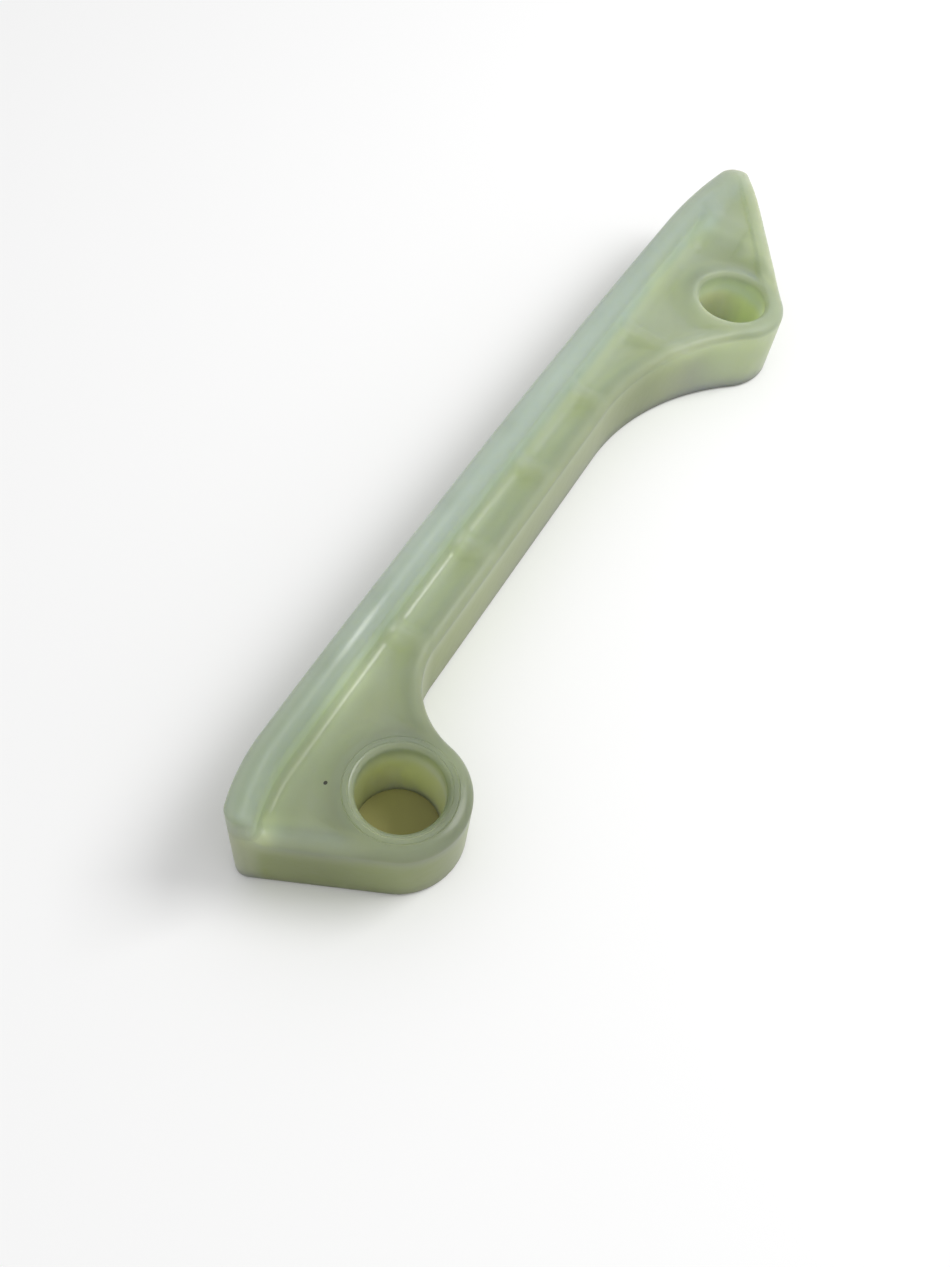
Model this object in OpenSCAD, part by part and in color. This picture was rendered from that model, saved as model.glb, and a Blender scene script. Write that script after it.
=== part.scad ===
// Fixed timing chain guide, moulded in one piece in natural nylon.
// Lies on its flat side: X runs along the rail, Y points to the chain, Z is up.
// The origin is on the axis of the near bore, in the plane of the flat side.

/* [Bores and bosses] */
// Diameter of both bores
bore_d = 10; // [8:0.5:11]
// Distance between the bores along the rail
bore_pitch = 94; // [84:1:120]
// How far the far bore lies nearer the chain than the near one
far_rise = 0.6; // [0:0.1:2]
// Diameter of both bosses
boss_d = 15.8; // [14.8:0.2:17]
// Diameter of the raised seat round each bore
seat_d = 12.4; // [11.6:0.2:13.6]
// Height of the seat above the rim
seat_rise = 0.3; // [0.1:0.1:0.6]
// Chamfer at the mouth of each bore
bore_chamfer = 0.5; // [0.2:0.1:0.8]

/* [Heights] */
// Height of the rim that runs round the back and both ends
rim_h = 10.4; // [8.5:0.1:12]
// Height of the rail, the width of its chain face
rail_h = 15.2; // [13.5:0.1:18]
// Depth of the floor below the rim
floor_drop = 0.8; // [0.5:0.1:1.5]
// Thickness of the web under the floor
web_t = 3; // [2:0.1:5]

/* [Rail] */
// Thickness of the rail behind the chain face
rail_t = 3.2; // [2.4:0.1:4]
// Distance from the near bore to the crest of the chain face
crest_y = 15.4; // [14.4:0.1:17]
// Place of the crest along the rail
crest_x = 38; // [25:1:60]
// Radius of the bowed chain face
face_r = 2200; // [1200:50:4000]
// Where the near lead-in starts, before the near bore
near_lead = 4; // [1:0.5:7]
// Radius of the near lead-in
near_lead_r = 25; // [20:1:40]
// Where the far lead-in starts, beyond the far bore
far_lead = 5; // [1:0.5:7]
// Radius of the far lead-in
far_lead_r = 80; // [60:1:110]

/* [Ends and back] */
// Lean of the near end wall from square
near_tilt = 24.5; // [20:0.5:30]
// Radius of the near corner of the rail
corner_r = 1.8; // [1.2:0.1:2.6]
// Angle of the far end wall to the rail
far_slant = 37.5; // [34:0.5:44]
// Radius of the far tip of the rail
tip_r = 3; // [2:0.1:3.6]
// Distance from the near bore to the back of the bar
back_y = 6.4; // [5.6:0.1:7]
// Radius of the hollow between the near boss and the bar
near_neck_r = 10.6; // [8:0.2:16]
// Radius of the hollow between the bar and the far boss
far_neck_r = 34; // [24:1:44]

/* [Walls and ribs] */
// Width of the rim
rim_w = 2.2; // [1.6:0.1:2.8]
// Thickness of the outer wall round the cored underside
wall_t = 2.4; // [1.8:0.1:3]
// Thickness of the far end wall
end_wall_t = 2.4; // [1.8:0.1:3]
// Place of the first rib along the rail
rib_first = 17; // [15:0.5:20]
// Spacing of the ribs along the bar
rib_pitch = 15.5; // [12:0.5:20]
// Thickness of the ribs at their top
rib_t = 1.6; // [1:0.1:2.4]
// Lean of the ribs' sides, so that they leave the mould
rib_draft = 30; // [10:1:40]
// Thickness of the ribs in the cored underside
core_rib_t = 2; // [1.2:0.1:3]
// Depth of a rib below the rim where it leaves it
rib_drop = 0.25; // [0.1:0.05:0.4]
// Height of a rib above the rim where it meets the rail
rib_rise = 1; // [0.4:0.1:3]
// Place of the last rib, beyond the far bore
last_rib = 11; // [10:0.5:13]

/* [Edges] */
// Rounding of the rail's upper edges
rail_edge_r = 0.8; // [0.4:0.1:1.1]
// Rounding of the rim's outer edge
rim_edge_r = 1.4; // [0.6:0.1:1.8]
// Rounding of the edge that lies on the table
foot_edge_r = 0.5; // [0.2:0.1:0.9]
// Fillet where the floor meets the rail
cove_r = 1; // [0.5:0.1:1.4]
// Fillet at the foot of the ribs
rib_foot_r = 0.6; // [0.3:0.1:1]
// Rounding of the ribs' upper edges
rib_edge_r = 0.4; // [0.2:0.1:0.7]

/* [Hidden] */
$fn = 72;
bore_r = bore_d / 2;
boss_r = boss_d / 2;
seat_r = seat_d / 2;
near = [0, 0];
far = [bore_pitch, far_rise];
floor_z = rim_h - floor_drop;
core_z = floor_z - web_t;
lap = 0.6;         // how far added pieces reach into what carries them
over = 2;          // how far cutters reach past what they cut
field = 2 * (crest_y + boss_r);   // half-size of the plane regions, past the guide on every side
arc_step = 5;      // turn of an arc between two of its points
round_steps = 5;   // facets across a rounded edge
foot_steps = 3;    // facets across the finer edge at the foot
rib_steps = 3;     // facets across each rounding of a rib

// Points along an arc from angle a to angle b
function arc(c, r, a, b, steps) =
    [for (i = [0:steps]) let (t = a + (b - a) * i / steps) c + r * dir(t)];
function tail(points) = [for (i = [1:len(points) - 1]) points[i]];
function dir(a) = [cos(a), sin(a)];
function turn(v) = [-v.y, v.x];
function angle_to(a, b) = atan2(b.y - a.y, b.x - a.x);
function steps_for(a, b) = max(2, ceil(abs(b - a) / arc_step));

// Distance along the ray p + t*d at which it is r from c, nearer (-1) or farther (+1)
function reach(p, d, c, r, side) =
    let (q = p - c, b = q * d)
    -b + side * sqrt(b * b - q * q + r * r);

// Centres of the arcs that make the outline, each tangent to its neighbours
face_c = [crest_x, crest_y - face_r];
function face_angle(x) = acos((x - crest_x) / face_r);
near_face_a = face_angle(-near_lead);
far_face_a = face_angle(bore_pitch + far_lead);
near_lead_c = face_c + (face_r - near_lead_r) * dir(near_face_a);
far_lead_c = face_c + (face_r - far_lead_r) * dir(far_face_a);

near_wall_a = 180 + near_tilt;
near_n = dir(near_wall_a);
near_len = -reach((boss_r - corner_r) * near_n, turn(near_n), near_lead_c, near_lead_r - corner_r, -1);
corner_c = (boss_r - corner_r) * near_n - near_len * turn(near_n);

far_wall_a = far_slant - 90;
far_n = dir(far_wall_a);
far_len = reach(far + (boss_r - tip_r) * far_n, turn(far_n), far_lead_c, far_lead_r - tip_r, 1);
tip_c = far + (boss_r - tip_r) * far_n + far_len * turn(far_n);

near_neck_c = [sqrt(pow(boss_r + near_neck_r, 2) - pow(back_y - near_neck_r, 2)), back_y - near_neck_r];
far_neck_c = [bore_pitch - sqrt(pow(boss_r + far_neck_r, 2) - pow(back_y - far_neck_r - far_rise, 2)),
              back_y - far_neck_r];
near_neck_a = angle_to(near, near_neck_c);
far_neck_a = angle_to(far_neck_c, far);

// Back of the guide between its two end walls, set in by w: boss, hollow, bar, hollow, boss
function back_curve(w) = concat(
    arc(near, boss_r - w, near_wall_a, near_neck_a + 360, steps_for(near_wall_a, near_neck_a + 360)),
    tail(arc(near_neck_c, near_neck_r + w, near_neck_a + 180, 90, steps_for(near_neck_a + 180, 90))),
    arc(far_neck_c, far_neck_r + w, 90, far_neck_a, steps_for(90, far_neck_a)),
    tail(arc(far, boss_r - w, far_neck_a + 180, far_wall_a + 360,
        steps_for(far_neck_a + 180, far_wall_a + 360))));

// Chain face from the far end to the near one, set in by w, its lead-ins run on by extra degrees
function face_curve(w, far_a, near_a) = concat(
    arc(far_lead_c, far_lead_r - w, far_a, far_face_a, 8),
    tail(arc(face_c, face_r - w, far_face_a, near_face_a, 10)),
    tail(arc(near_lead_c, near_lead_r - w, near_face_a, near_a, 8)));

far_lead_end = angle_to(far_lead_c, tip_c);
near_lead_end = angle_to(near_lead_c, corner_c);
lead_run_on = 12;

// Whole outline, set in by w
function outline(w) = concat(
    back_curve(w),
    arc(tip_c, tip_r - w, far_wall_a, far_lead_end, 12),
    tail(face_curve(w, far_lead_end, near_lead_end)),
    tail(arc(corner_c, corner_r - w, near_lead_end, near_wall_a, 8)));

// Back with both end walls run on past the rail, set in by w
function back_path(w) = concat(
    [(boss_r - w) * near_n - (near_len + over + rail_t) * turn(near_n)],
    back_curve(w),
    [far + (boss_r - w) * far_n + (far_len + over + rail_t) * turn(far_n)]);

// Height of the rim at each point of back_path: it climbs along the far end wall to the rail
climb = (rail_h - rim_h) / far_len;
function back_height(points) =
    [for (i = [0:len(points) - 1]) i < len(points) - 1 ? rim_h : rim_h + climb * (far_len + over + rail_t)];

// Place of the inside of the rail and of the back at a given x
function rail_inside(x) =
    x > bore_pitch + far_lead
        ? far_lead_c.y + sqrt(pow(far_lead_r - rail_t, 2) - pow(x - far_lead_c.x, 2))
        : face_c.y + sqrt(pow(face_r - rail_t, 2) - pow(x - face_c.x, 2));
function end_wall_y(x) = far.y + (boss_r + (far.x - x) * far_n.x) / far_n.y;
function back_at(x) =
    x > bore_pitch ? end_wall_y(x)
    : x < near_neck_c.x ? near_neck_c.y + sqrt(pow(near_neck_r, 2) - pow(x - near_neck_c.x, 2))
    : x > far_neck_c.x ? far_neck_c.y + sqrt(pow(far_neck_r, 2) - pow(x - far_neck_c.x, 2))
    : back_y;

// Ribs stand along the bar up to the far boss, and one more stands beyond it
rib_end = bore_pitch - boss_r - rib_t * 2;
rib_x = concat([for (x = [rib_first:rib_pitch:rib_end]) x], [bore_pitch + last_rib]);

// Solid swept through rings of points that turn counter-clockwise seen from the last ring.
// A closed sweep joins its last ring to the first; an open one is capped from each ring's first point.
module sweep(rings, closed) {
    n = len(rings[0]);
    count = len(rings);
    points = [for (ring = rings) each ring];
    sides = [for (k = [0:closed ? count - 1 : count - 2], i = [0:n - 1])
        let (m = (k + 1) % count, j = (i + 1) % n) [k * n + i, m * n + i, m * n + j, k * n + j]];
    base = (count - 1) * n;
    caps = closed ? [] : concat(
        [for (i = [1:n - 2]) [0, i, i + 1]],
        [for (i = [1:n - 2]) [base, base + i + 1, base + i]]);
    polyhedron(points, concat(sides, caps), convexity = 10);
}

// Rings of a profile carried along a path: each point of the profile is [inset, height],
// rows are the path set in by each inset, and heights lift the profile along the path
function carried(rows, profile, heights) =
    [for (i = [0:len(rows[0]) - 1])
        [for (k = [0:len(profile) - 1]) [rows[k][i].x, rows[k][i].y, heights[i] + profile[k].y]]];

// Points of a rounded upper edge, run on a little at both ends so that it crosses wall and top
function rounded_edge(r, steps) =
    let (bend = [for (i = [0:steps]) let (a = 90 * i / steps) r * [1 - cos(a), sin(a) - 1]])
    concat([2 * bend[0] - bend[1]], [for (i = [1:steps - 1]) bend[i]], [2 * bend[steps] - bend[steps - 1]]);

// Cutter that rounds the upper edge of the whole outline
module edge_round(r, steps) {
    bend = rounded_edge(r, steps);
    profile = concat([[-over, over], [-over, bend[0].y]], bend, [[bend[steps].x, over]]);
    rows = [for (q = profile) outline(q.x)];
    sweep(carried(rows, profile, [for (p = rows[0]) 0]), true);
}

// Guide as a block of the rail's height with rounded upper and lower edges
module blank() {
    difference() {
        linear_extrude(rail_h) polygon(outline(0));
        translate([0, 0, rail_h]) edge_round(rail_edge_r, round_steps);
        mirror([0, 0, 1]) edge_round(foot_edge_r, foot_steps);
    }
}

// Plane region on the inner side of the back, set in by w
module inside_back(w) {
    p = back_path(w);
    polygon(concat(p, [[p[len(p) - 1].x, field], [p[0].x, field]]));
}

// Plane region behind the rail
module behind_rail(w) {
    p = face_curve(w, far_lead_end - lead_run_on, near_lead_end + lead_run_on);
    polygon(concat(p, [[p[len(p) - 1].x, -field], [p[0].x, -field]]));
}

// Plane region that the far end wall stands on
module end_wall_strip() {
    difference() {
        translate(far) rotate(far_slant) translate([-lap, -field]) square([field, field]);
        inside_back(end_wall_t);
    }
}

// Space above the rim, behind the rail and inside the far end wall
module shoulder() {
    translate([0, 0, rim_h]) linear_extrude(rail_h - rim_h + over) difference() {
        behind_rail(rail_t);
        end_wall_strip();
    }
}

// Cutter that rounds the rim's outer edge and slopes the top of the far end wall
module rim_round() {
    bend = rounded_edge(rim_edge_r, round_steps);
    inner = end_wall_t + lap;
    profile = concat(
        [[-over, rail_h], [-over, bend[0].y]], bend,
        [[inner, bend[round_steps].y], [inner, rail_h]]);
    rows = [for (q = profile) back_path(q.x)];
    intersection() {
        sweep(carried(rows, profile, back_height(rows[0])), false);
        translate([0, 0, -over]) linear_extrude(2 * field) behind_rail(rail_t);
    }
}

// Shallow floor between the rim, the bosses and the rail
module floor_recess() {
    land_r = boss_r - (rim_edge_r - floor_drop) / 2;
    translate([0, 0, floor_z]) linear_extrude(floor_drop + over) difference() {
        intersection() {
            inside_back(rim_w);
            behind_rail(rail_t);
        }
        translate(near) circle(land_r);
        translate(far) circle(land_r);
        end_wall_strip();
    }
}

// Fillet along the foot of the rail
module rail_cove() {
    bend = [for (i = [0:round_steps]) let (a = 90 * i / round_steps)
        cove_r * [1 - sin(a), 1 - cos(a)]];
    profile = concat([[-lap, -lap], [cove_r, -lap]], bend, [[-lap, cove_r]]);
    rows = [for (q = profile) face_curve(rail_t + q.x, far_lead_end, near_lead_end)];
    intersection() {
        sweep(carried(rows, profile, [for (p = rows[0]) floor_z]), false);
        linear_extrude(rail_h) inside_back(rim_w - lap);
    }
}

// One side of a rib's section from its foot up, as [distance from its middle, height]:
// fillet, leaning side and rounded edge, both kept within the height that the rib has at the rim
function rib_side(top) =
    let (bend = 90 - rib_draft,
         soft = min(1, 0.9 * (floor_drop - rib_drop) / ((rib_foot_r + rib_edge_r) * (1 - cos(bend)))),
         foot_r = soft * rib_foot_r,
         edge_r = soft * rib_edge_r,
         foot_x = rib_t / 2 + (top - floor_z) * tan(rib_draft) + foot_r * tan(bend / 2),
         edge_x = rib_t / 2 - edge_r * tan(bend / 2))
    concat(
        [for (i = [0:rib_steps]) let (a = bend * i / rib_steps)
            [foot_x - foot_r * sin(a), floor_z + foot_r * (1 - cos(a))]],
        [for (i = [0:rib_steps]) let (a = bend * (1 - i / rib_steps))
            [edge_x + edge_r * sin(a), top - edge_r * (1 - cos(a))]]);

// Section of a rib across its length at a given y, its base sunk in the floor
function rib_ring(x, y, top) =
    let (side = rib_side(top), n = len(side), base = floor_z - lap)
    concat(
        [[x, y, base], [x - side[0].x, y, base]],
        [for (i = [0:n - 1]) [x - side[i].x, y, side[i].y]],
        [for (i = [0:n - 1]) [x + side[n - 1 - i].x, y, side[n - 1 - i].y]],
        [[x + side[0].x, y, base]]);

// Rib that props the rail: level inside the rim, then climbing to the rail
module rib(x) {
    low = back_at(x);
    start = rim_h - rib_drop;
    foot = low + rim_w - lap / 2;
    high = rail_inside(x);
    climbing = (rib_rise + rib_drop) / (high - foot);
    intersection() {
        sweep([rib_ring(x, low, start), rib_ring(x, foot, start),
            rib_ring(x, high + lap, start + climbing * (high + lap - foot))], false);
        linear_extrude(rail_h) inside_back(rim_w - lap);
    }
}

// Raised seat with a bevelled edge
module seat() {
    bevel = seat_rise / 2;
    rotate_extrude() polygon([
        [0, floor_z - lap], [seat_r, floor_z - lap], [seat_r, rim_h + bevel],
        [seat_r - bevel, rim_h + seat_rise], [0, rim_h + seat_rise]]);
}

// Bore, chamfered at its mouth
module bore() {
    top = rim_h + seat_rise;
    translate([0, 0, -over]) cylinder(r = bore_r, h = top + 2 * over);
    translate([0, 0, top - bore_chamfer])
        cylinder(r1 = bore_r, r2 = bore_r + bore_chamfer + over, h = bore_chamfer + over);
}

// Pockets in the flat side, between the same ribs
module cored_side() {
    translate([0, 0, -over]) linear_extrude(core_z + over) difference() {
        intersection() {
            inside_back(wall_t);
            behind_rail(rail_t);
        }
        translate(near) circle(boss_r);
        translate(far) circle(boss_r);
        for (x = rib_x) translate([x - core_rib_t / 2, -field]) square([core_rib_t, 2 * field]);
    }
}

// The one moulded piece
module chain_guide() {
    color("#b3c3a6") difference() {
        union() {
            difference() {
                blank();
                shoulder();
                rim_round();
                floor_recess();
            }
            rail_cove();
            for (x = rib_x) rib(x);
            translate(near) seat();
            translate(far) seat();
        }
        cored_side();
        translate(near) bore();
        translate(far) bore();
    }
}

chain_guide();
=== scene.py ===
import math
import bpy
import numpy as np
from mathutils import Matrix, Vector


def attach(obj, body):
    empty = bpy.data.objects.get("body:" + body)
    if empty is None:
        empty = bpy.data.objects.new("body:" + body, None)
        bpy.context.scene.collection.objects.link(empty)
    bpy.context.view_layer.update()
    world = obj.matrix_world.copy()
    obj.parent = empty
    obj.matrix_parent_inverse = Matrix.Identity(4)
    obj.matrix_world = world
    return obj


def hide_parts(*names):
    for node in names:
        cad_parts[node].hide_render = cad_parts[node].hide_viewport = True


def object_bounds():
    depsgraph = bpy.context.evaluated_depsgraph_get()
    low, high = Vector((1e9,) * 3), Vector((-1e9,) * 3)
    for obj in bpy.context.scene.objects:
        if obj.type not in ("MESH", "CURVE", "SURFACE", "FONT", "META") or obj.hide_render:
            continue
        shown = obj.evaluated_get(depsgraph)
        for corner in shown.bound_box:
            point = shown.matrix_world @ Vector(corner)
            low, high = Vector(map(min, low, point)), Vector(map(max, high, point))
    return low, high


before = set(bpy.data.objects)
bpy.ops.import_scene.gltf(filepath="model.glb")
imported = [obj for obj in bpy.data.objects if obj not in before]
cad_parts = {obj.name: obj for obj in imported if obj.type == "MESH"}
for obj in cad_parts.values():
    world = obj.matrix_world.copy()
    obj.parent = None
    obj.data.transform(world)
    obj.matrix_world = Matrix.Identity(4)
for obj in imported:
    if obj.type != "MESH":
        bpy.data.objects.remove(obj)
cadLow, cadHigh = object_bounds()
mm = 0.001  # the frame is in metres, and sizes here are in millimetres where nothing else is said
farAway = 1e3  # a distance beyond every other, to start a nearest-of search
print("frame loaded, box in mm:", [round(v / mm, 2) for v in (cadHigh - cadLow)])

# Sizes of the moulding in millimetres, as in the part's source
guide = {
    "boreR": 5.0, "pitch": 94.0, "farRise": 0.6, "bossR": 7.9, "landR": 7.6,
    "seatR": 6.2, "seatRise": 0.3, "seatEdgeR": 0.12, "seatJoinR": 0.15,
    "boreChamfer": 0.5, "boreEdgeR": 0.12,
    "rimH": 10.4, "rimSink": 0.36, "railH": 15.2, "coreZ": 6.6,
    "floorZ": (9.97, 10.05), "floorX": (55, 80),  # floor height near and far, and where it changes
    "railT": 3.2, "crestX": 38.0, "crestY": 15.4, "faceR": 2200.0,
    "nearLead": 4.0, "nearLeadR": 25.0, "farLead": 5.0, "farLeadR": 80.0,
    "nearTilt": 24.5, "cornerR": 1.8, "farSlant": 37.5, "tipR": 3.0,
    "backY": 6.4, "nearNeckR": 10.6, "farNeckR": 34.0,
    "rimW": 2.2, "wallT": 2.4, "endWallT": 2.4, "endWallStep": (-0.6, 0.2), "landJoinR": 0.8,
    "ribX": (17.0, 32.5, 48.0, 63.5, 79.0, 105.0), "ribT": 1.6, "coreRibT": 2.0, "ribBury": 0.3,
    "ribZ": (-0.33, -0.08),  # rib tops over the rim, before their fillets, at the rim and at the rail
    "railEdgeR": 0.8, "railInnerR": 1.8, "rimEdgeR": 1.9, "railBehind": (1.2, -0.4), "footR": 0.5,
    "coveR": (1.2, 2.6), "coveX": (30, 62),  # cove at the rail's foot, and where it widens
    "rimInnerR": 2.0, "floorFillet": 2.4, "ribEdgeR": 0.6, "ribFillet": 1.6,
    "rampX": (6.5, 13.5), "rampSide": -7.0, "rampBoss": (6.4, 9.5),  # where the floor climbs to the tip
    "pocketCornerR": 0.7, "pocketRoofR": 0.6, "pocketMouthR": 0.25,
}


# Unit vector at an angle from the x axis: its cosine and sine
def direction(degrees):
    a = math.radians(degrees)
    return np.array([math.cos(a), math.sin(a)])


# Angle of the line from start to end, by its rise and run
def bearing(start, end):
    return math.degrees(math.atan2(end[1] - start[1], end[0] - start[0]))


# Distance along a ray from p in direction d to the circle (c, r), on its nearer (-1) or farther (+1) side:
# the lesser or greater root of the quadratic for a point that is r from c
def reach(p, d, c, r, side):
    q = p - c
    b = float(q @ d)
    return -b + side * math.sqrt(b * b - float(q @ q) + r * r)


# Centres and end angles of the arcs that make the outline, each tangent to the next: centres lie the
# difference of the radii apart where both arcs swell, and their sum where one hollows
def layOut(g):
    far = np.array([g["pitch"], g["farRise"]])
    faceC = np.array([g["crestX"], g["crestY"] - g["faceR"]])
    nearFaceA = math.degrees(math.acos((-g["nearLead"] - g["crestX"]) / g["faceR"]))
    farFaceA = math.degrees(math.acos((g["pitch"] + g["farLead"] - g["crestX"]) / g["faceR"]))
    nearLeadC = faceC + (g["faceR"] - g["nearLeadR"]) * direction(nearFaceA)
    farLeadC = faceC + (g["faceR"] - g["farLeadR"]) * direction(farFaceA)
    nearN = direction(180 + g["nearTilt"])
    nearT = np.array([-nearN[1], nearN[0]])
    nearStart = (g["bossR"] - g["cornerR"]) * nearN
    nearLen = -reach(nearStart, nearT, nearLeadC, g["nearLeadR"] - g["cornerR"], -1)
    cornerC = nearStart - nearLen * nearT
    farN = direction(g["farSlant"] - 90)
    farT = np.array([-farN[1], farN[0]])
    farStart = far + (g["bossR"] - g["tipR"]) * farN
    farLen = reach(farStart, farT, farLeadC, g["farLeadR"] - g["tipR"], 1)
    tipC = farStart + farLen * farT
    nearNeckY = g["backY"] - g["nearNeckR"]
    nearNeckC = np.array([math.sqrt((g["bossR"] + g["nearNeckR"]) ** 2 - nearNeckY ** 2), nearNeckY])
    farNeckY = g["backY"] - g["farNeckR"]
    farNeckRun = math.sqrt((g["bossR"] + g["farNeckR"]) ** 2 - (farNeckY - g["farRise"]) ** 2)
    farNeckC = np.array([g["pitch"] - farNeckRun, farNeckY])
    return {
        "far": far, "faceC": faceC, "nearFaceA": nearFaceA, "farFaceA": farFaceA,
        "nearLeadC": nearLeadC, "farLeadC": farLeadC, "nearN": nearN, "nearT": nearT, "nearLen": nearLen,
        "cornerC": cornerC, "farN": farN, "farT": farT, "farLen": farLen, "tipC": tipC,
        "nearNeckC": nearNeckC, "farNeckC": farNeckC,
        "nearLeadEnd": bearing(nearLeadC, cornerC), "farLeadEnd": bearing(farLeadC, tipC),
    }


plan = layOut(guide)


# Arc piece of the outline: from angle a through span degrees, with bulge 1 where it swells outwards
# and -1 where it hollows
def arcPiece(at, r, a, span, bulge):
    return {"at": at, "r": r, "from": a, "span": span, "bulge": bulge}


# Straight piece of the outline from p along d, with the moulding on its left
def linePiece(p, d, length):
    return {"at": p, "r": 0.0, "along": d, "length": length}


# The outline as arcs and straights, each starting where the last one ends: near boss, near neck, back,
# far neck, far boss, far end wall, tip, chain face with its lead-ins, near corner and near end wall
def outlinePieces(g, p):
    nearWallA = 180 + g["nearTilt"]
    farWallA = g["farSlant"] - 90
    nearNeckA = bearing((0, 0), p["nearNeckC"])
    farNeckA = bearing(p["farNeckC"], p["far"])
    origin = np.zeros(2)
    backStart = np.array([p["nearNeckC"][0], g["backY"]])
    nearWallStart = g["bossR"] * p["nearN"] - p["nearLen"] * p["nearT"]
    farWallStart = p["far"] + g["bossR"] * p["farN"]
    return [
        arcPiece(origin, g["bossR"], nearWallA, nearNeckA + 360 - nearWallA, 1),
        arcPiece(p["nearNeckC"], g["nearNeckR"], 90, nearNeckA + 90, -1),
        linePiece(backStart, np.array([1.0, 0.0]), p["farNeckC"][0] - backStart[0]),
        arcPiece(p["farNeckC"], g["farNeckR"], farNeckA, 90 - farNeckA, -1),
        arcPiece(p["far"], g["bossR"], farNeckA + 180, farWallA + 180 - farNeckA, 1),
        linePiece(farWallStart, p["farT"], p["farLen"]),
        arcPiece(p["tipC"], g["tipR"], farWallA, p["farLeadEnd"] - farWallA, 1),
        arcPiece(p["farLeadC"], g["farLeadR"], p["farLeadEnd"], p["farFaceA"] - p["farLeadEnd"], 1),
        arcPiece(p["faceC"], g["faceR"], p["farFaceA"], p["nearFaceA"] - p["farFaceA"], 1),
        arcPiece(p["nearLeadC"], g["nearLeadR"], p["nearFaceA"], p["nearLeadEnd"] - p["nearFaceA"], 1),
        arcPiece(p["cornerC"], g["cornerR"], p["nearLeadEnd"], nearWallA - p["nearLeadEnd"], 1),
        linePiece(nearWallStart, p["nearT"], p["nearLen"]),
    ]


outline = outlinePieces(guide, plan)


# Signed distance to the outline, minus inside: the nearest of its arcs and straights, each counted
# only in its own sector, which is enough because all of them meet tangent
def outlineDistance(x, y):
    slack = 1e-4
    best = np.full(np.broadcast(x, y).shape, farAway)
    for piece in outline:
        dx = x - piece["at"][0]
        dy = y - piece["at"][1]
        if piece["r"] > 0:
            turn = np.mod(np.degrees(np.arctan2(dy, dx)) - piece["from"] + slack, 360)
            here = turn <= piece["span"] + 2 * slack
            d = piece["bulge"] * (np.hypot(dx, dy) - piece["r"])
        else:
            run = dx * piece["along"][0] + dy * piece["along"][1]
            here = (run >= -slack) & (run <= piece["length"] + slack)
            d = dx * piece["along"][1] - dy * piece["along"][0]
        best = np.where(here & (np.abs(d) < np.abs(best)), d, best)
    return best


# Signed distance to the chain face alone, its lead-ins run on past both ends
def faceDistance(x, y):
    p = plan
    nearA = direction(p["nearFaceA"])
    farA = direction(p["farFaceA"])
    dx = x - p["faceC"][0]
    dy = y - p["faceC"][1]
    main = np.hypot(dx, dy) - guide["faceR"]
    nearIn = np.hypot(x - p["nearLeadC"][0], y - p["nearLeadC"][1]) - guide["nearLeadR"]
    farIn = np.hypot(x - p["farLeadC"][0], y - p["farLeadC"][1]) - guide["farLeadR"]
    d = np.where(nearA[0] * dy - nearA[1] * dx > 0, nearIn, main)
    return np.where(farA[0] * dy - farA[1] * dx < 0, farIn, d)


# Two solids joined with a fillet of radius r: outside both by less than r, the level follows a circle
def filletJoin(a, b, r):
    return np.maximum(r, np.minimum(a, b)) - np.hypot(np.maximum(r - a, 0), np.maximum(r - b, 0))


# What two solids share, its edge rounded by r: inside both by less than r, the level follows a circle
def roundCut(a, b, r):
    return np.minimum(-r, np.maximum(a, b)) + np.hypot(np.maximum(r + a, 0), np.maximum(r + b, 0))


# Smooth rise from 0 at low to 1 at high, three times the square less twice the cube of the way between;
# a fall where high is the lesser
def smoothStep(low, high, value):
    t = np.clip((value - low) / (high - low), 0, 1)
    return t * t * (3 - 2 * t)


# Value part way from the first of a pair to the second
def between(pair, share):
    return pair[0] + (pair[1] - pair[0]) * share


# Inside of the rail and outside of the back at a given x, for the ribs between them: the y of the arc or
# straight that lies there
def ribEnds(x):
    g = guide
    p = plan
    c, r = (p["farLeadC"], g["farLeadR"]) if x > g["pitch"] + g["farLead"] else (p["faceC"], g["faceR"])
    high = c[1] + math.sqrt((r - g["railT"]) ** 2 - (x - c[0]) ** 2)
    if x > g["pitch"]:
        low = p["far"][1] + (g["bossR"] + (p["far"][0] - x) * p["farN"][0]) / p["farN"][1]
    elif x > p["farNeckC"][0]:
        low = p["farNeckC"][1] + math.sqrt(g["farNeckR"] ** 2 - (x - p["farNeckC"][0]) ** 2)
    elif x < p["nearNeckC"][0]:
        low = p["nearNeckC"][1] + math.sqrt(g["nearNeckR"] ** 2 - (x - p["nearNeckC"][0]) ** 2)
    else:
        low = g["backY"]
    return low, high


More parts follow.
